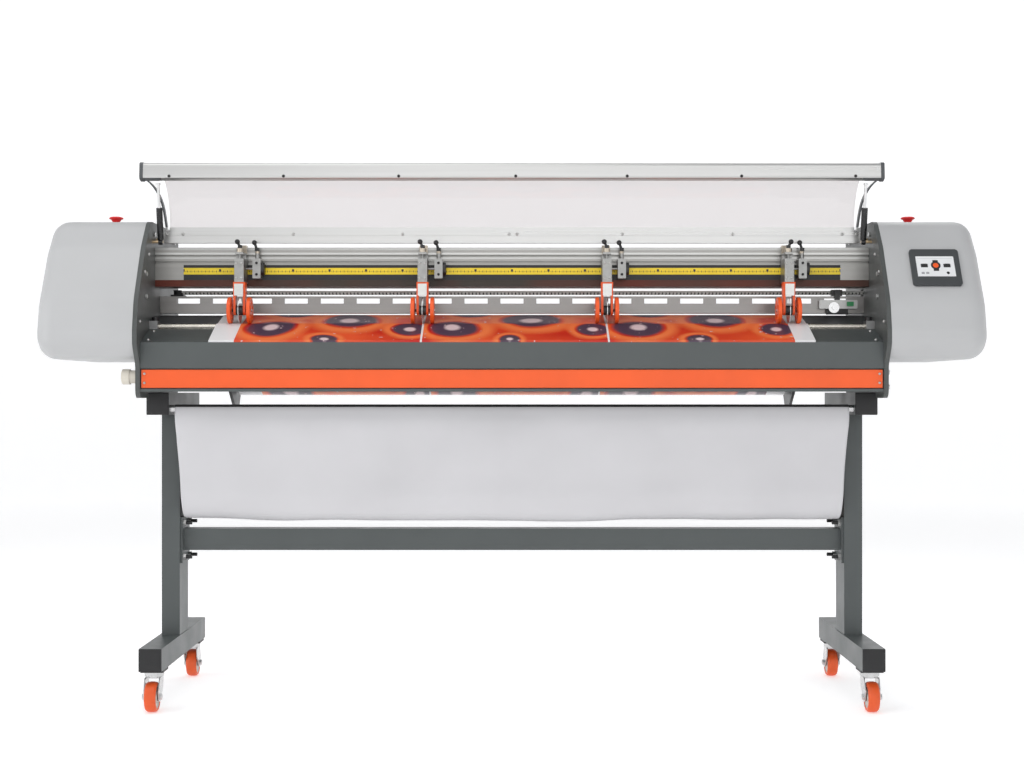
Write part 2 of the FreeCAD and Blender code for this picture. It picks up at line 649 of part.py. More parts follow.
def roll_arms():
    """Cross tube, two end plates and the stubs that carry the core of the print roll."""
    tube_at = (140, 885)
    tube = rod_x(-PLATE_IN + 0.5, PLATE_IN - 0.5, *tube_at, 15)
    tube = tube.cut(rod_x(-PLATE_IN, PLATE_IN, *tube_at, 12))
    outline = [(118, 862), (228, 796), (285, 796), (HALF_DEPTH, 860), (HALF_DEPTH, 955), (300, 990),
               (190, 990), (118, 915)]
    plate = prism(outline, 812, 820, [20, 12, 12, 25, 25, 20, 25, 20])
    plate = plate.cut(rod_x(811, 821, *tube_at, 15))
    stub = rod_x(785, 812, ROLL_Y, ROLL_Z, CORE_R - 0.08)
    arm = plate.fuse(stub)
    return [tube, arm, mirrored(arm)]


def print_roll():
    roll = rod_x(-WEB_HALF, WEB_HALF, ROLL_Y, ROLL_Z, ROLL_R)
    return [roll.cut(rod_x(-WEB_HALF, WEB_HALF, ROLL_Y, ROLL_Z, CORE_R))]


def print_web():
    """Printed web, from the front slot over the shaft and the bed down to the roll behind."""
    path = [(-295.6, 950), (-295.6, 979.5), (-172, 1028.9), (-156, 1029.1), (-50, 1057.6), (147, 1057.6),
            (149, 1056), (154.4, 940)]
    return [sheet(path, -WEB_THICK, -WEB_HALF, WEB_HALF)]


# ---- write every piece --------------------------------------------------------------
def main():
    os.makedirs("parts", exist_ok=True)
    save("crossbar", crossbar())
    save("fasteners", fasteners())
    save("tube_end_caps", end_caps())
    save("front_apron", front_apron())
    save("orange_band", orange_band())
    save("shaft_bearings", shaft_bearings())
    save("drive_shaft", drive_shaft())
    save("media_bed", media_bed())
    save("cross_rail", cross_rail())
    save("cross_belt", cross_belt())
    save("cross_carriage", cross_carriage())
    save("cutter_beam", cutter_beam())
    save("ruler", ruler())
    save("control_panel", control_panel())
    save("side_knob", side_knob())
    save("inner_motors", inner_motors())
    save("power_inlet", power_inlet())
    save("cover_frame", cover_frame())
    save("cover_sheet", cover_sheet())
    save("basket_rods", basket_rods())
    save("basket_fabric", basket_fabric())
    save("roll_arms", roll_arms())
    save("print_roll", print_roll())
    save("print_web", print_web())
    for name, side in (("left", -1), ("right", 1)):
        save(name + "_leg", [on_side(piece, side) for piece in leg()])
        save(name + "_side_plate", side_plate(side))
        save(name + "_housing", housing(side))
        save(name + "_stop_button", stop_button(side))
        save(name + "_strut_cylinder", strut_cylinder(side))
        save(name + "_strut_rod", strut_rod(side))
        for end, y in (("front", -CASTER_Y), ("rear", CASTER_Y)):
            save("caster_fork_%s_%s" % (end, name), caster_fork(side * FOOT_X, y))
            save("caster_wheel_%s_%s" % (end, name), caster_wheel(side * FOOT_X, y))
    for number, x in enumerate(UNIT_X, 1):
        save("unit%d_carrier" % number, unit_carrier(x))
        save("unit%d_lever" % number, [clamp_lever(x, SHAFT_Y, 1233, UNIT_LEAN[number - 1])])
        save("unit%d_head" % number, unit_head(x))
        save("unit%d_wheels" % number, unit_wheels(x))


main()
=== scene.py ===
import json
import math

import bmesh
import bpy
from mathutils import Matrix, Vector, noise


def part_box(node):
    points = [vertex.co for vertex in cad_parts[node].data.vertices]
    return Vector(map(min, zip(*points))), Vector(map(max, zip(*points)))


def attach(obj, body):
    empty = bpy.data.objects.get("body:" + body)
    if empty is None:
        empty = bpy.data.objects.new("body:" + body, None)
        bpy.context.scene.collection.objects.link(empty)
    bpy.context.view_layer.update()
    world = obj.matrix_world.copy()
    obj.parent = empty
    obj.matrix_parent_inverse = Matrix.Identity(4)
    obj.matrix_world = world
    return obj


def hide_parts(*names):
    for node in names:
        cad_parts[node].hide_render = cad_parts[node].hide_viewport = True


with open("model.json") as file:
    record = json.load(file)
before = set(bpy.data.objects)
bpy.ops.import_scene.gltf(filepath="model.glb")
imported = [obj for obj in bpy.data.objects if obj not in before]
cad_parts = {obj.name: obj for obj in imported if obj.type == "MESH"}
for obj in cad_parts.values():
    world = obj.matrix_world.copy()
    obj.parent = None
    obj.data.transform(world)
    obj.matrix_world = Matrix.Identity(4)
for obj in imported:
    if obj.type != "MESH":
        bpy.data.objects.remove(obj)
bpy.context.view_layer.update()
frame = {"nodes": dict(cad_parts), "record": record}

NODES = frame["nodes"]
JOINTS = {joint["name"]: joint for joint in frame["record"]["behaviour"]["joints"]}
# Where each cutting unit's lever turns; its x is the middle of the unit.
UNITS = [JOINTS["unit%d_lever_turn" % number]["pos_m"] for number in (1, 2, 3, 4)]
SIDES = ("left", "right")


# ---- material builder ---------------------------------------------------------------
class Paint:
    """One material with one Principled shader; helpers add procedural detail in object space."""

    def __init__(self, name, color, rough, metal=0.0, **sockets):
        self.mat = bpy.data.materials.new(name)
        self.mat.use_nodes = True
        self.tree = self.mat.node_tree
        self.bsdf = self.tree.nodes["Principled BSDF"]
        self.color = tuple(color) + (1.0,)
        self.rough = rough
        self.metal = metal
        self.bsdf.inputs["Base Color"].default_value = self.color
        self.bsdf.inputs["Roughness"].default_value = rough
        self.bsdf.inputs["Metallic"].default_value = metal
        for key, value in sockets.items():
            self.bsdf.inputs[key].default_value = value
        self.coords = self.node("ShaderNodeTexCoord").outputs["Object"]
        split = self.node("ShaderNodeSeparateXYZ")
        self.link(self.coords, split.inputs[0])
        self.x, self.y, self.z = split.outputs[0], split.outputs[1], split.outputs[2]

    def node(self, kind, **values):
        node = self.tree.nodes.new(kind)
        for key, value in values.items():
            setattr(node, key, value)
        return node

    def link(self, source, target):
        self.tree.links.new(source, target)

    def put(self, value, socket):
        if isinstance(value, bpy.types.NodeSocket):
            self.link(value, socket)
        else:
            socket.default_value = value

    def math(self, operation, a, b=0.0):
        node = self.node("ShaderNodeMath", operation=operation)
        self.put(a, node.inputs[0])
        self.put(b, node.inputs[1])
        return node.outputs[0]

    def above(self, value, limit):
        return self.math("GREATER_THAN", value, limit)

    def below(self, value, limit):
        return self.math("LESS_THAN", value, limit)

    def length(self, a, b):
        """Length of the vector (a, b), as for a distance from an axis."""
        squares = self.math("ADD", self.math("MULTIPLY", a, a), self.math("MULTIPLY", b, b))
        return self.math("SQRT", squares)

    def between(self, value, low, high):
        """1 where low < value < high, else 0."""
        return self.math("MULTIPLY", self.above(value, low), self.below(value, high))

    def both(self, *masks):
        result = masks[0]
        for mask in masks[1:]:
            result = self.math("MULTIPLY", result, mask)
        return result

    def either(self, *masks):
        result = masks[0]
        for mask in masks[1:]:
            result = self.math("MAXIMUM", result, mask)
        return result

    def stretched(self, scale):
        node = self.node("ShaderNodeMapping")
        self.link(self.coords, node.inputs[0])
        node.inputs["Scale"].default_value = scale
        return node.outputs[0]

    def noise(self, scale, detail=3.0, stretch=(1, 1, 1)):
        node = self.node("ShaderNodeTexNoise")
        self.link(self.stretched(stretch), node.inputs["Vector"])
        node.inputs["Scale"].default_value = scale
        node.inputs["Detail"].default_value = detail
        return node.outputs["Fac"]

    def span(self, value, low, high, to_low, to_high):
        node = self.node("ShaderNodeMapRange")
        self.put(value, node.inputs["Value"])
        sockets = ("From Min", "From Max", "To Min", "To Max")
        for socket, number in zip(sockets, (low, high, to_low, to_high)):
            node.inputs[socket].default_value = number
        return node.outputs[0]

    def mix_color(self, fac, a, b):
        node = self.node("ShaderNodeMix", data_type="RGBA")
        self.put(fac, node.inputs[0])
        self.put(a, node.inputs[6])
        self.put(b, node.inputs[7])
        return node.outputs[2]

    def mix_value(self, fac, a, b):
        node = self.node("ShaderNodeMix", data_type="FLOAT")
        self.put(fac, node.inputs[0])
        self.put(a, node.inputs[2])
        self.put(b, node.inputs[3])
        return node.outputs[0]

    def vary(self, scale, amount, stretch=(1, 1, 1)):
        """Uneven tone and roughness, as in handled or rolled surfaces. It comes before any zone."""
        field = self.noise(scale, 4.0, stretch)
        dark = tuple(c * (1.0 - amount) for c in self.color[:3]) + (1.0,)
        light = tuple(min(1.0, c * (1.0 + amount)) for c in self.color[:3]) + (1.0,)
        self.color = self.mix_color(self.span(field, 0.3, 0.7, 0.0, 1.0), dark, light)
        self.rough = self.span(field, 0.3, 0.7, self.rough * 0.85, min(1.0, self.rough * 1.15))
        return self

    def zone(self, mask, color, rough, metal=0.0):
        """Another finish where the mask is 1."""
        if isinstance(color, tuple):
            color = color + (1.0,)
        self.color = self.mix_color(mask, self.color, color)
        self.rough = self.mix_value(mask, self.rough, rough)
        self.metal = self.mix_value(mask, self.metal, metal)
        return self

    def bump(self, height, strength, distance=0.001):
        node = self.node("ShaderNodeBump")
        node.inputs["Strength"].default_value = strength
        node.inputs["Distance"].default_value = distance
        self.link(height, node.inputs["Height"])
        if self.bsdf.inputs["Normal"].is_linked:
            self.link(self.bsdf.inputs["Normal"].links[0].from_socket, node.inputs["Normal"])
        self.link(node.outputs[0], self.bsdf.inputs["Normal"])
        return self

    def done(self):
        self.put(self.color, self.bsdf.inputs["Base Color"])
        self.put(self.rough, self.bsdf.inputs["Roughness"])
        self.put(self.metal, self.bsdf.inputs["Metallic"])
        return self.mat


def powder_paint(name, color, rough=0.42):
    """Baked paint with a fine, even orange-peel grain."""
    paint = Paint(name, color, rough, **{"Specular IOR Level": 0.5})
    paint.vary(9.0, 0.05)
    return paint.bump(paint.noise(1100.0, 2.0), 0.12, 0.0004)


def moulded(name, color, rough=0.5, grain=900.0, strength=0.15):
    """Moulded plastic with a fine grain."""
    paint = Paint(name, color, rough)
    paint.vary(5.0, 0.02)
    return paint.bump(paint.noise(grain, 2.0), strength, 0.0004)


def extruded_aluminium(name, color=(0.60, 0.60, 0.59), rough=0.34):
    """Metal with die lines along X."""
    paint = Paint(name, color, rough, 0.9)
    paint.vary(60.0, 0.07, (0.02, 1.0, 1.0))
    return paint.bump(paint.noise(900.0, 3.0, (0.01, 1.0, 1.0)), 0.12, 0.0003)


def steel(name, color=(0.58, 0.58, 0.57), rough=0.3):
    """Bright metal with an uneven tone."""
    paint = Paint(name, color, rough, 1.0)
    paint.vary(45.0, 0.10)
    return paint.bump(paint.noise(600.0, 2.0), 0.08, 0.0003)


# ---- colours ------------------------------------------------------------------------
ANTHRACITE = (0.074, 0.084, 0.084)
PLATE_GREY = (0.070, 0.076, 0.074)
ORANGE = (0.86, 0.105, 0.012)
TREAD = (0.74, 0.095, 0.014)
BLACK = (0.012, 0.012, 0.013)
SHELL = (0.48, 0.485, 0.49)
CREAM = (0.66, 0.62, 0.54)
RED = (0.70, 0.012, 0.012)
INK = (0.02, 0.02, 0.02)


# ---- zoned materials ----------------------------------------------------------------
def ruler_material():
    """Yellow tape on a black strip, with marks at every 100, 10 and 5 mm."""
    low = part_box("ruler")[0]
    tape_low, tape_high = low.z + 0.015, low.z + 0.033
    paint = Paint("ruler_tape", BLACK, 0.45)
    on_tape = paint.between(paint.z, tape_low, tape_high)
    yellow = paint.mix_color(paint.span(paint.noise(30.0), 0.3, 0.7, 0.0, 1.0),
                             (0.76, 0.56, 0.012, 1), (0.84, 0.64, 0.02, 1))
    paint.zone(on_tape, yellow, 0.35)
    marks = []
    rows = ((0.1, 0.0030, 0.0080, 0.0145), (0.01, 0.0010, 0.0060, 0.0105), (0.005, 0.0006, 0.0068, 0.0090))
    for step, width, foot, top in rows:
        cell = paint.math("PINGPONG", paint.x, step / 2)
        tick = paint.below(cell, width)
        marks.append(paint.both(tick, paint.between(paint.z, tape_low + foot, tape_low + top)))
    paint.zone(paint.either(*marks), INK, 0.5)
    return paint.bump(paint.noise(700.0), 0.08, 0.0003).done()


def belt_material():
    """Light toothed belt, dark pulleys and bracket."""
    low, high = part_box("cross_belt")
    paint = Paint("toothed_belt", BLACK, 0.5)
    on_belt = paint.both(paint.between(paint.z, high.z - 0.0121, high.z - 0.0019),
                         paint.between(paint.x, low.x + 0.030, high.x - 0.03))
    paint.zone(on_belt, (0.66, 0.66, 0.63), 0.55)
    teeth = paint.below(paint.math("PINGPONG", paint.x, 0.005), 0.0016)
    lower = paint.below(paint.z, high.z - 0.0065)
    paint.zone(paint.both(on_belt, teeth, lower), INK, 0.6)
    return paint.bump(paint.math("PINGPONG", paint.x, 0.005), 0.3, 0.001).done()


def cover_frame_material():
    """Anodised rails; the end caps and side arms are dark plastic."""
    paint = extruded_aluminium("cover_aluminium", (0.56, 0.56, 0.55), 0.30)
    across = paint.math("ABSOLUTE", paint.x)
    caps = paint.above(across, 0.9901)
    above_rail = paint.between(paint.z, 1.2965, 1.4185)
    arms = paint.both(paint.above(across, 0.9425), above_rail)
    paint.zone(paint.either(caps, arms), (0.075, 0.080, 0.085), 0.45)
    return paint.done()


def unit_material(name, parts):
    """Machined grey blocks; parts lists (mask maker, colour, roughness, metal)."""
    paint = Paint(name, (0.34, 0.34, 0.33), 0.36, 0.85)
    paint.vary(55.0, 0.12)
    for make_mask, color, rough, metal in parts:
        paint.zone(make_mask(paint), color, rough, metal)
    return paint.bump(paint.noise(800.0, 2.0), 0.1, 0.0003).done()


def head_material(number):
    """Machined block over an orange fork, with a bright pad screwed to the fork's front."""
    fork_top, pad_back = 1.1411, -0.1842

    def fork(paint):
        return paint.both(paint.below(paint.z, fork_top), paint.above(paint.y, pad_back))

    def pad(paint):
        return paint.both(paint.below(paint.z, fork_top), paint.below(paint.y, pad_back))

    parts = [(fork, ORANGE, 0.38, 0.0), (pad, (0.62, 0.62, 0.6), 0.3, 0.8)]
    return unit_material("unit_head_%d" % number, parts)


def carrier_material(number, place):
    """Machined blocks with a brass-coloured nut, and the lock block's black lever and dark knob."""
    nut_bottom, lever_bottom = 1.2221, 1.2281
    lever_left, knob_left = place[0] + 0.025, place[0] + 0.0531

    def nut(paint):
        return paint.above(paint.z, nut_bottom)

    def lever(paint):
        return paint.both(paint.above(paint.z, lever_bottom), paint.above(paint.x, lever_left))

    def knob(paint):
        return paint.above(paint.x, knob_left)

    parts = [(nut, (0.50, 0.44, 0.36), 0.3, 1.0), (lever, BLACK, 0.35, 0.0),
             (knob, (0.04, 0.04, 0.04), 0.4, 0.5)]
    return unit_material("unit_carrier_%d" % number, parts)


def wheels_material(number, place):
    """Orange discs, dark hubs and a bright blade."""
    paint = Paint("unit_wheels_%d" % number, ORANGE, 0.36)
    paint.vary(40.0, 0.06)
    off = paint.math("ABSOLUTE", paint.math("SUBTRACT", paint.x, place[0]))
    axle_y, axle_z = -0.168, 1.065
    dy = paint.math("SUBTRACT", paint.y, axle_y)
    dz = paint.math("SUBTRACT", paint.z, axle_z)
    radius = paint.length(dy, dz)
    inner = paint.below(off, 0.0214)
    paint.zone(inner, (0.035, 0.035, 0.036), 0.4, 0.3)
    blade = paint.both(paint.below(off, 0.0011), paint.above(radius, 0.0135))
    paint.zone(blade, (0.72, 0.72, 0.72), 0.18, 1.0)
    axle = paint.both(paint.below(radius, 0.0058), paint.above(off, 0.031))
    paint.zone(axle, (0.6, 0.6, 0.6), 0.25, 1.0)
    return paint.bump(paint.noise(700.0, 2.0), 0.08, 0.0003).done()


def caster_wheel_material(name, node):
    """Orange polyurethane tread on a grey-orange moulded core."""
    low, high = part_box(node)
    centre = (low + high) / 2
    paint = Paint(name, TREAD, 0.40)
    paint.vary(30.0, 0.08)
    dy = paint.math("SUBTRACT", paint.y, centre.y)
    dz = paint.math("SUBTRACT", paint.z, centre.z)
    radius = paint.length(dy, dz)
    paint.zone(paint.below(radius, 0.029), (0.62, 0.60, 0.56), 0.45)
    paint.zone(paint.below(radius, 0.0115), (0.05, 0.05, 0.05), 0.5)
    return paint.bump(paint.noise(500.0), 0.1, 0.0004).done()


def panel_material():
    """Dark bezel, white membrane, black keys and an orange jog key, laid out in the slope's own plane."""
    slope = Vector((0, 88, 145)).normalized()
    paint = Paint("control_panel", (0.050, 0.055, 0.058), 0.42)
    paint.vary(20.0, 0.04)
    centre = (1.121, -0.2704, 1.171)
    u = paint.math("SUBTRACT", paint.x, centre[0])
    y_part = paint.math("MULTIPLY", paint.math("SUBTRACT", paint.y, centre[1]), slope.y)
    z_part = paint.math("MULTIPLY", paint.math("SUBTRACT", paint.z, centre[2]), slope.z)
    v = paint.math("ADD", y_part, z_part)

    def box(u0, u1, v0, v1):
        return paint.both(paint.between(u, u0, u1), paint.between(v, v0, v1))

    def disc(u0, v0, radius):
        du = paint.math("SUBTRACT", u, u0)
        dv = paint.math("SUBTRACT", v, v0)
        return paint.below(paint.length(du, dv), radius)

    paint.zone(box(-0.0502, 0.0502, -0.0302, 0.0342), (0.78, 0.79, 0.80), 0.35)
    paint.zone(box(-0.046, 0.046, 0.0265, 0.0280), (0.60, 0.62, 0.63), 0.4)
    jog = paint.either(disc(0.0, 0.004, 0.0128), box(-0.0072, 0.0072, -0.0132, 0.0212))
    paint.zone(jog, INK, 0.4)
    for key_u in (-0.030, 0.030):
        paint.zone(box(key_u - 0.0092, key_u + 0.0092, -0.0017, 0.0097), INK, 0.4)
    paint.zone(disc(0.0, 0.004, 0.0075), ORANGE, 0.4)
    paint.zone(disc(0.030, -0.020, 0.0041), INK, 0.4)
    for key_u in (-0.036, -0.024):
        paint.zone(box(key_u - 0.0041, key_u + 0.0041, -0.0232, -0.0168), (0.35, 0.36, 0.37), 0.4)
    return paint.bump(paint.noise(900.0, 2.0), 0.1, 0.0003).done()


def beam_material():
    """Anodised extrusion with lighter bands that are painted highlights; the foot is dark and shows a faint
    painted reflection of the red print it hangs above.
    """
    paint = extruded_aluminium("beam_aluminium", (0.33, 0.325, 0.31), 0.36)
    # Painted highlights: lighter grey bands at three heights of the extrusion, where its faces catch the
    # light.
    for low_z, high_z, highlight_grey in ((1.2205, 1.2260, 0.52), (1.2085, 1.2135, 0.46), (1.2330, 1.2395, 0.42)):
        paint.zone(paint.between(paint.z, low_z, high_z), (highlight_grey, highlight_grey, highlight_grey * 0.97), 0.30, 0.9)
    # Painted reflection: the red print below is painted onto the dark foot as a noisy red tint.
    print_reflection = paint.mix_color(paint.span(paint.noise(2.6, 2.0, (1, 1, 0.2)), 0.42, 0.62, 0.0, 1.0),
                            (0.045, 0.037, 0.030, 1), (0.110, 0.022, 0.012, 1))
    paint.zone(paint.below(paint.z, 1.1510), print_reflection, 0.42, 0.5)
    return paint.done()


def carriage_material():
    """Bright plate, black blade holder and belt clamp, a steel blade and a green plug."""
    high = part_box("cross_carriage")[1]
    paint = Paint("cross_carriage", (0.50, 0.50, 0.49), 0.35, 0.8)
    paint.vary(50.0, 0.10)
    paint.zone(paint.below(paint.z, 1.0751), BLACK, 0.4)
    paint.zone(paint.above(paint.z, 1.0992), (0.06, 0.06, 0.06), 0.4)
    forward = paint.below(paint.y, -0.0601)
    plug = paint.both(forward, paint.above(paint.x, high.x - 0.031))
    paint.zone(plug, (0.03, 0.30, 0.10), 0.45)
    blade = paint.both(forward, paint.below(paint.x, high.x - 0.04))
    paint.zone(blade, (0.65, 0.65, 0.65), 0.2, 1.0)
    return paint.bump(paint.noise(700.0), 0.08, 0.0003).done()


def bearing_material():
    """Dark aluminium blocks under black knobs."""
    paint = Paint("bearing_blocks", BLACK, 0.4)
    paint.vary(30.0, 0.1)
    paint.zone(paint.below(paint.z, 1.0361), (0.30, 0.30, 0.30), 0.35, 0.8)
    return paint.bump(paint.noise(600.0), 0.08, 0.0003).done()


def print_material(name, along):
    """Satin vinyl: white margins and slits, and three panels of an abstract red and dark print."""
    paint = Paint(name, (0.86, 0.86, 0.87), 0.32)
    first, last, width = UNITS[0][0], UNITS[3][0], 0.4955
    u = paint.math("FLOORED_MODULO", paint.math("SUBTRACT", paint.x, first), width)
    v = paint.z if along == "z" else paint.y
    warp = paint.math("MULTIPLY", paint.math("SUBTRACT", paint.noise(5.0, 1.0), 0.5), 0.05)
    red = paint.mix_color(paint.span(paint.noise(3.2, 1.5, (1, 2.2, 1)), 0.38, 0.62, 0.0, 1.0),
                          (0.60, 0.010, 0.004, 1), (0.86, 0.090, 0.022, 1))
    inside = paint.both(paint.between(paint.x, first + 0.003, last - 0.003),
                        paint.between(u, 0.004, width - 0.0012))
    art = red
    blobs = ((0.085, -0.200, 0.090), (0.300, -0.120, 0.105), (0.460, -0.215, 0.060),
             (0.13, -0.02, 0.08), (0.43, 0.02, 0.09), (0.235, -0.285, 0.040))
    for u0, v0, size in blobs:
        du = paint.math("ADD", paint.math("SUBTRACT", u, u0), warp)
        dv = paint.math("SUBTRACT", v, v0 if along == "y" else v0 + 1.05)
        far = paint.length(du, dv)
        ring = paint.both(paint.span(far, size * 0.80, size * 0.88, 0.0, 1.0),
                          paint.span(far, size, size * 1.3, 1.0, 0.0))
        core = paint.span(far, size * 0.66, size * 0.80, 1.0, 0.0)
        light = paint.span(far, size * 0.18, size * 0.30, 1.0, 0.0)
        art = paint.mix_color(ring, art, (0.95, 0.210, 0.060, 1))
        art = paint.mix_color(core, art, (0.085, 0.050, 0.085, 1))
        art = paint.mix_color(light, art, (0.80, 0.62, 0.64, 1))
    sparks = paint.above(paint.noise(75.0, 1.0), 0.735)
    art = paint.mix_color(sparks, art, (0.75, 0.55, 0.55, 1))
    paint.zone(inside, art, 0.28)
    return paint.bump(paint.noise(14.0, 2.0), 0.15, 0.0015).done()


def fabric_material():
    """Coated light grey cloth with a fine weave, and a dark strip over the front rod."""
    paint = Paint("basket_cloth", (0.600, 0.595, 0.612), 0.62,
                  **{"Sheen Weight": 0.15, "Sheen Roughness": 0.5})
    paint.vary(3.5, 0.04)
    front = paint.below(paint.y, -0.02)
    top_edge = paint.above(paint.z, 0.8035)
    paint.zone(paint.both(front, top_edge), (0.02, 0.02, 0.021), 0.6)
    weave = 2600.0
    warp = paint.math("SINE", paint.math("MULTIPLY", paint.x, weave))
    weft = paint.math("SINE", paint.math("MULTIPLY", paint.math("ADD", paint.z, paint.y), weave))
    paint.bump(paint.math("MULTIPLY", warp, weft), 0.12, 0.0003)
    return paint.bump(paint.noise(18.0, 4.0), 0.10, 0.002).done()


def clear_material():
    """Faintly tinted clear sheet with a slight waviness."""
    paint = Paint("clear_polycarbonate", (0.80, 0.775, 0.775), 0.06,
                  **{"Transmission Weight": 0.92, "IOR": 1.3, "Specular IOR Level": 0.4})
    paint.rough = paint.span(paint.noise(6.0, 3.0), 0.3, 0.7, 0.04, 0.10)
    return paint.bump(paint.noise(2.5, 2.0), 0.04, 0.002).done()


def strut_material():
    """Glossy black."""
    paint = Paint("strut_black", BLACK, 0.28)
    paint.vary(40.0, 0.1)
    return paint.bump(paint.noise(500.0), 0.06, 0.0003).done()


def fastener_material():
    """Zinc bolts; the ends of the crossbar bolts carry black caps and the cover's pins are brass."""
    paint = steel("zinc_fasteners")
    reach = paint.math("ABSOLUTE", paint.x)
    tips = paint.both(paint.below(reach, 0.9072), paint.below(paint.z, 0.6))
    paint.zone(tips, BLACK, 0.45)
    brass = paint.both(paint.below(reach, 0.9785), paint.between(paint.z, 1.240, 1.2680))
    paint.zone(brass, (0.60, 0.45, 0.28), 0.3, 1.0)
    return paint.done()


def leg_material():
    """Painted tube; the caster pads below the foot beams are black."""
    paint = powder_paint("leg_paint", ANTHRACITE, 0.40)
    paint.zone(paint.below(paint.z, 0.1099), BLACK, 0.5)
    return paint.done()


def shaft_material():
    """Ground steel with a fine knurl."""
    paint = steel("ground_shaft", (0.66, 0.63, 0.56), 0.25)
    pitch = 3000.0
    knurl = paint.math("MULTIPLY", paint.math("SINE", paint.math("MULTIPLY", paint.x, pitch)),
                       paint.math("SINE", paint.math("MULTIPLY", paint.z, pitch)))
    return paint.bump(knurl, 0.25, 0.0005).done()


def paint_frame():
    """Gives the listed CAD nodes their materials."""
    leg = leg_material()
    plate = powder_paint("plate_paint", PLATE_GREY, 0.45).done()
    black = moulded("black_caps", BLACK, 0.5).done()
    rail = extruded_aluminium("rail_aluminium", (0.30, 0.29, 0.28), 0.36).done()
    apron = powder_paint("apron_paint", ANTHRACITE, 0.38).done()
    bed = powder_paint("bed_paint", (0.05, 0.052, 0.055), 0.40).done()
    zinc = steel("zinc_plate", (0.60, 0.60, 0.60), 0.28).done()
    dark = powder_paint("dark_steel", (0.045, 0.047, 0.05), 0.4).done()
    shell = moulded("housing_shell", SHELL, 0.46, 1400.0, 0.10).done()
    red = moulded("red_mushroom", RED, 0.30, 500.0, 0.05).done()
    finishes = {
        "crossbar": leg, "left_leg": leg, "right_leg": leg, "front_apron": apron,
        "left_side_plate": plate, "right_side_plate": plate, "tube_end_caps": black,
        "orange_band": powder_paint("orange_paint", ORANGE, 0.36).done(), "power_inlet": black,
        "shaft_bearings": bearing_material(), "media_bed": bed, "cross_rail": rail,
        "cutter_beam": beam_material(), "cross_belt": belt_material(),
        "cross_carriage": carriage_material(), "ruler": ruler_material(), "control_panel": panel_material(),
        "inner_motors": dark, "roll_arms": dark, "basket_rods": zinc, "fasteners": fastener_material(),
        "left_housing": shell, "right_housing": shell, "left_stop_button": red, "right_stop_button": red,
        "side_knob": moulded("cream_knob", CREAM, 0.42).done(), "drive_shaft": shaft_material(),
        "print_web": print_material("printed_web", "y"), "print_roll": print_material("printed_roll", "z"),
        "cover_frame": cover_frame_material(), "cover_sheet": clear_material(),
    }
    for side in SIDES:
        finishes[side + "_strut_cylinder"] = strut_material()
        finishes[side + "_strut_rod"] = steel("strut_chrome_" + side, (0.72, 0.72, 0.72), 0.16).done()
        for end in ("front", "rear"):
            finishes["caster_fork_%s_%s" % (end, side)] = zinc
            wheel = "caster_wheel_%s_%s" % (end, side)
            finishes[wheel] = caster_wheel_material(wheel + "_tread", wheel)
    for number, place in enumerate(UNITS, 1):
        finishes["unit%d_carrier" % number] = carrier_material(number, place)
        finishes["unit%d_head" % number] = head_material(number)
        finishes["unit%d_wheels" % number] = wheels_material(number, place)
        finishes["unit%d_lever" % number] = moulded("lever_black_%d" % number, BLACK, 0.32).done()
    for node, material in finishes.items():
        for slot in NODES[node].material_slots:
            slot.material = material


# ---- mesh helpers -------------------------------------------------------------------
def smooth_object(name, mesh, material):
    """A smooth-shaded object of this material from the bmesh, which is freed."""
    data = bpy.data.meshes.new(name)
    mesh.to_mesh(data)
    mesh.free()
    data.materials.append(material)
    data.polygons.foreach_set("use_smooth", [True] * len(data.polygons))
    result = bpy.data.objects.new(name, data)
    bpy.context.scene.collection.objects.link(result)
    return result


def new_piece(name, mesh, material, body):
    """A smooth object that rides on a body of the frame."""
    piece = smooth_object(name, mesh, material)
    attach(piece, body)
    return piece


def smooth_path(points, steps):
    """Catmull-Rom curve through the points, as evenly numbered samples."""
    ends = [points[0] * 2 - points[1]] + points + [points[-1] * 2 - points[-2]]
    path = []
    for i in range(1, len(ends) - 2):
        p0, p1, p2, p3 = ends[i - 1:i + 3]
        for k in range(steps):
            t = k / steps
            path.append(0.5 * ((2 * p1) + (p2 - p0) * t + (2 * p0 - 5 * p1 + 4 * p2 - p3) * t * t
                               + (3 * p1 - p0 - 3 * p2 + p3) * t ** 3))
    path.append(points[-1])
    return path


def even_path(path, count):
    """The path again in count equal steps, and its length."""
    lengths = [0.0]
    for a, b in zip(path, path[1:]):
        lengths.append(lengths[-1] + (b - a).length)
    result = []
    k = 0
    for i in range(count + 1):
        want = lengths[-1] * i / count
        while k < len(path) - 2 and lengths[k + 1] < want:
            k += 1
        share = (want - lengths[k]) / max(1e-9, lengths[k + 1] - lengths[k])
        result.append(path[k].lerp(path[k + 1], min(1.0, share)))
    return result, lengths[-1]


# ---- basket -------------------------------------------------------------------------
def wrinkle(x, s):
    """Height of the cloth's wrinkles at width x, a share s of the way from front rod to rear rod."""
    top = math.exp(-s * 9.0)
    fine = noise.noise(Vector((x * 9.0, s * 3.0, 1.7)))
    coarse = noise.noise(Vector((x * 3.1 + s * 1.6, s * 2.2, 5.2)))
    slant = noise.noise(Vector((x * 5.0 + s * 6.0, s * 5.0 - x, 8.4)))
    return 0.0060 * fine * (0.25 + top) + 0.0100 * coarse * (0.40 + 0.60 * top) + 0.0040 * slant


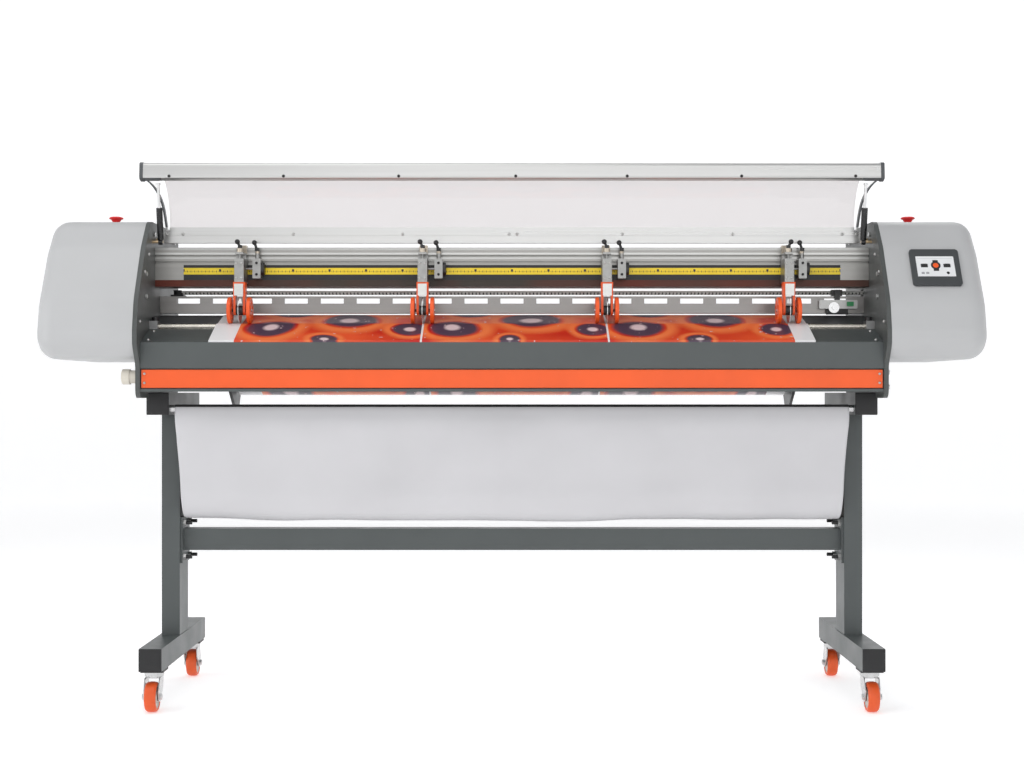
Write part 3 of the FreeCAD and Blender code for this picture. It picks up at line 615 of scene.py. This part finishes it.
def basket():
    """The sling: one cloth hung from the front rod to the rear rod, wrinkled and a little slack."""
    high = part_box("basket_fabric")[1]
    route = [(-0.1570, 0.8098), (-0.1665, 0.8050), (-0.1688, 0.7880), (-0.1660, 0.7560), (-0.1510, 0.7120),
             (-0.1170, 0.6220), (-0.0995, 0.5550), (-0.0680, 0.5060), (-0.0150, 0.4905), (0.0600, 0.5060),
             (0.1290, 0.5760), (0.1740, 0.6700), (0.2050, 0.7350), (0.2115, 0.7620), (0.2000, 0.7712)]
    columns, rows = 300, 150
    path, length = even_path(smooth_path([Vector((0, y, z)) for y, z in route], 10), rows)
    half = high.x - 0.0015
    mesh = bmesh.new()
    grid = []
    for i in range(columns + 1):
        x = -half + 2 * half * i / columns
        edge = 1.0 - abs(x) / half
        row = []
        for j, point in enumerate(path):
            s = j / rows
            before = path[max(0, j - 1)]
            after = path[min(rows, j + 1)]
            along = (after - before).normalized()
            normal = Vector((0, -along.z, along.y))
            # 0 where the cloth lies on a rod, 1 where it hangs free
            loose = min(1.0, max(0.0, (s - 0.045) * 14.0)) * min(1.0, max(0.0, (0.955 - s) * 14.0))
            lift = wrinkle(x, s) * loose
            sag = -0.006 * math.sin(math.pi * s) ** 2 * (1.0 - (x / half) ** 2) * loose
            place = point + normal * lift + Vector((0, 0, sag))
            # the open ends draw in a little
            pull = 0.004 * math.exp(-edge * 30.0) * math.sin(math.pi * s) * loose
            row.append(mesh.verts.new((x - math.copysign(pull, x), place.y, place.z)))
        grid.append(row)
    for i in range(columns):
        for j in range(rows):
            mesh.faces.new((grid[i][j], grid[i + 1][j], grid[i + 1][j + 1], grid[i][j + 1]))
    cloth = new_piece("basket_cloth", mesh, fabric_material(), "root")
    thick = cloth.modifiers.new("thickness", "SOLIDIFY")
    thick.thickness = 0.0012
    thick.offset = 0.0
    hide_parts("basket_fabric")


# ---- small hardware -----------------------------------------------------------------
def turned(mesh, centre, axis, profile, segments=20):
    """Revolves (distance along axis, radius) points round the axis into the bmesh."""
    axis = Vector(axis).normalized()
    side = axis.orthogonal().normalized()
    up = axis.cross(side)
    rings = []
    for along, radius in profile:
        if radius <= 0:
            rings.append([mesh.verts.new(centre + axis * along)])
            continue
        ring = []
        for k in range(segments):
            angle = 2 * math.pi * k / segments
            outward = side * math.cos(angle) + up * math.sin(angle)
            ring.append(mesh.verts.new(centre + axis * along + outward * radius))
        rings.append(ring)
    for a, b in zip(rings, rings[1:]):
        for k in range(segments):
            n = (k + 1) % segments
            if len(a) == 1:
                mesh.faces.new((a[0], b[k], b[n]))
            elif len(b) == 1:
                mesh.faces.new((a[k], b[0], a[n]))
            else:
                mesh.faces.new((a[k], b[k], b[n], a[n]))


def socket_screw(mesh, centre, axis, radius):
    """Domed head with a socket sunk into it."""
    profile = [(0.0, radius), (0.0016, radius), (0.0026, radius * 0.85), (0.0030, radius * 0.55),
               (0.0030, radius * 0.45), (0.0012, radius * 0.42), (0.0012, 0.0)]
    turned(mesh, Vector(centre), axis, profile)


def screws(name, places, material, body):
    """One piece of many screws; places lists (centre, axis, head radius)."""
    mesh = bmesh.new()
    for centre, axis, radius in places:
        socket_screw(mesh, centre, axis, radius)
    bmesh.ops.recalc_face_normals(mesh, faces=mesh.faces)
    new_piece(name, mesh, material, body)


def stop_buttons():
    """Mushroom heads with a thin rim over a waisted neck; each one rides on its own body."""
    profile = [(-0.0215, 0.0), (-0.0215, 0.0105), (-0.0140, 0.0105), (-0.0115, 0.0125),
               (-0.0085, 0.0140), (-0.0070, 0.0188), (-0.0056, 0.0195), (-0.0040, 0.0194),
               (-0.0022, 0.0178), (-0.0008, 0.0130), (-0.0002, 0.0060), (0.0, 0.0)]
    for name in SIDES:
        node = name + "_stop_button"
        low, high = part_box(node)
        centre = Vector(((low.x + high.x) / 2, (low.y + high.y) / 2, high.z))
        mesh = bmesh.new()
        turned(mesh, centre, (0, 0, 1), profile, 40)
        bmesh.ops.recalc_face_normals(mesh, faces=mesh.faces)
        red = moulded(name + "_mushroom_red", RED, 0.30, 500.0, 0.05).done()
        piece = new_piece(name + "_mushroom", mesh, red, node)
        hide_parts(node)


def small_hardware():
    """Screws in the hinge rail, handle, apron, band, side plates and cutting units."""
    zinc = steel("screw_zinc", (0.55, 0.55, 0.54), 0.3).done()
    black = moulded("screw_black", BLACK, 0.4).done()
    rail_x = (-0.947, -0.903, -0.60, -0.30, -0.008, 0.014, 0.303, 0.606, 0.906, 0.945)
    rail_screws = [((x, -0.107, 1.2775), (0, -1, 0), 0.0042) for x in rail_x]
    screws("hinge_rail_screws", rail_screws, zinc, "cover")
    handle_x = (-0.92, -0.613, -0.304, 0.01, 0.309, 0.616, 0.922)
    plugs = [((x, -0.2128, 1.4235), (0, -1, -0.35), 0.0042) for x in handle_x]
    screws("handle_plugs", plugs, black, "cover")
    fixed = []
    for side in (-1, 1):
        for x, y, z in ((0.962, -0.28, 0.9816), (0.962, -0.21, 1.0067)):
            fixed.append(((side * x, y, z), (0, -0.33, 0.94), 0.0045))
        for z in (0.868, 0.892):
            fixed.append(((side * 0.968, -0.297, z), (0, -1, 0), 0.0035))
        for y, z in ((-0.30, 1.03), (-0.24, 1.165), (-0.19, 1.215), (-0.27, 0.95)):
            fixed.append(((side * 0.979, y, z), (-side, 0, 0), 0.0045))
    screws("frame_screws", fixed, zinc, "root")
    for number, place in enumerate(UNITS, 1):
        on_head = [((place[0] + dx, -0.186, z), (0, -1, 0), 0.0032)
                   for dx in (-0.007, 0.007) for z in (1.152, 1.192)]
        screws("head_screws_%d" % number, on_head, zinc, "unit%d_head" % number)
        on_lock = [((place[0] + 0.042, -0.150, z), (0, -1, 0), 0.0036) for z in (1.164, 1.195)]
        screws("lock_screws_%d" % number, on_lock, black, "unit%d_carrier" % number)


# ---- floor, light and camera --------------------------------------------------------
def studio():
    """Flat pale floor that curves up to a wall all round, so no view is blocked."""
    paint = Paint("studio_floor", (0.905, 0.905, 0.91), 0.85)
    paint.vary(1.5, 0.006)
    paint.bsdf.inputs["Emission Color"].default_value = (1.0, 1.0, 1.0, 1.0)
    paint.bsdf.inputs["Emission Strength"].default_value = 0.36
    floor_paint = paint.bump(paint.noise(60.0, 3.0), 0.02, 0.001).done()
    mesh = bmesh.new()
    flat, curve, wall_top, steps = 9.0, 3.0, 6.5, 12
    profile = [(0.0, 0.0), (0.0, 4.0), (0.0, flat)]
    for k in range(1, steps + 1):
        angle = math.pi / 2 * k / steps
        profile.append((curve * (1 - math.cos(angle)), flat + curve * math.sin(angle)))
    profile.append((wall_top, flat + curve))
    turned(mesh, Vector((0, 0, 0)), (0, 0, 1), profile, 96)
    bmesh.ops.recalc_face_normals(mesh, faces=mesh.faces)
    smooth_object("studio_floor", mesh, floor_paint)


def area_light(name, place, target, width, height, power):
    """White rectangular lamp at place, turned towards target."""
    data = bpy.data.lights.new(name, "AREA")
    data.shape = "RECTANGLE"
    data.size = width
    data.size_y = height
    data.energy = power
    light = bpy.data.objects.new(name, data)
    bpy.context.scene.collection.objects.link(light)
    light.location = place
    light.rotation_euler = (Vector(target) - Vector(place)).to_track_quat("-Z", "Y").to_euler()


def lights():
    """Soft light from above, the left, the front and behind, and a pale world."""
    area_light("key_top", (-1.2, -1.6, 4.2), (0, 0, 0.9), 4.5, 3.0, 56)
    area_light("fill_left", (-4.2, -2.2, 1.8), (-0.6, 0, 0.9), 2.5, 2.5, 24)
    area_light("fill_front", (0.6, -5.4, 2.4), (0, 0, 0.8), 4.0, 2.5, 20)
    area_light("fill_back", (0.5, 2.4, 3.6), (0, 0.2, 1.0), 4.0, 1.5, 40)
    world = bpy.data.worlds.new("studio")
    bpy.context.scene.world = world
    world.use_nodes = True
    background = world.node_tree.nodes["Background"]
    background.inputs["Color"].default_value = (0.97, 0.98, 1.0, 1)
    background.inputs["Strength"].default_value = 0.42


def camera():
    """Level, in front of the machine's middle plane, with a lens that gives the photo's framing."""
    data = bpy.data.cameras.new("camera")
    data.lens = 59.8
    data.sensor_width = 36.0
    data.shift_y = 0.0078
    data.clip_end = 60.0
    eye = bpy.data.objects.new("camera", data)
    bpy.context.scene.collection.objects.link(eye)
    eye.location = (0.0, -4.776, 0.844)
    eye.rotation_euler = (math.pi / 2, 0.0, 0.0)
    bpy.context.scene.camera = eye


paint_frame()
basket()
stop_buttons()
small_hardware()
studio()
lights()
camera()
bpy.context.scene.view_settings.view_transform = "Standard"
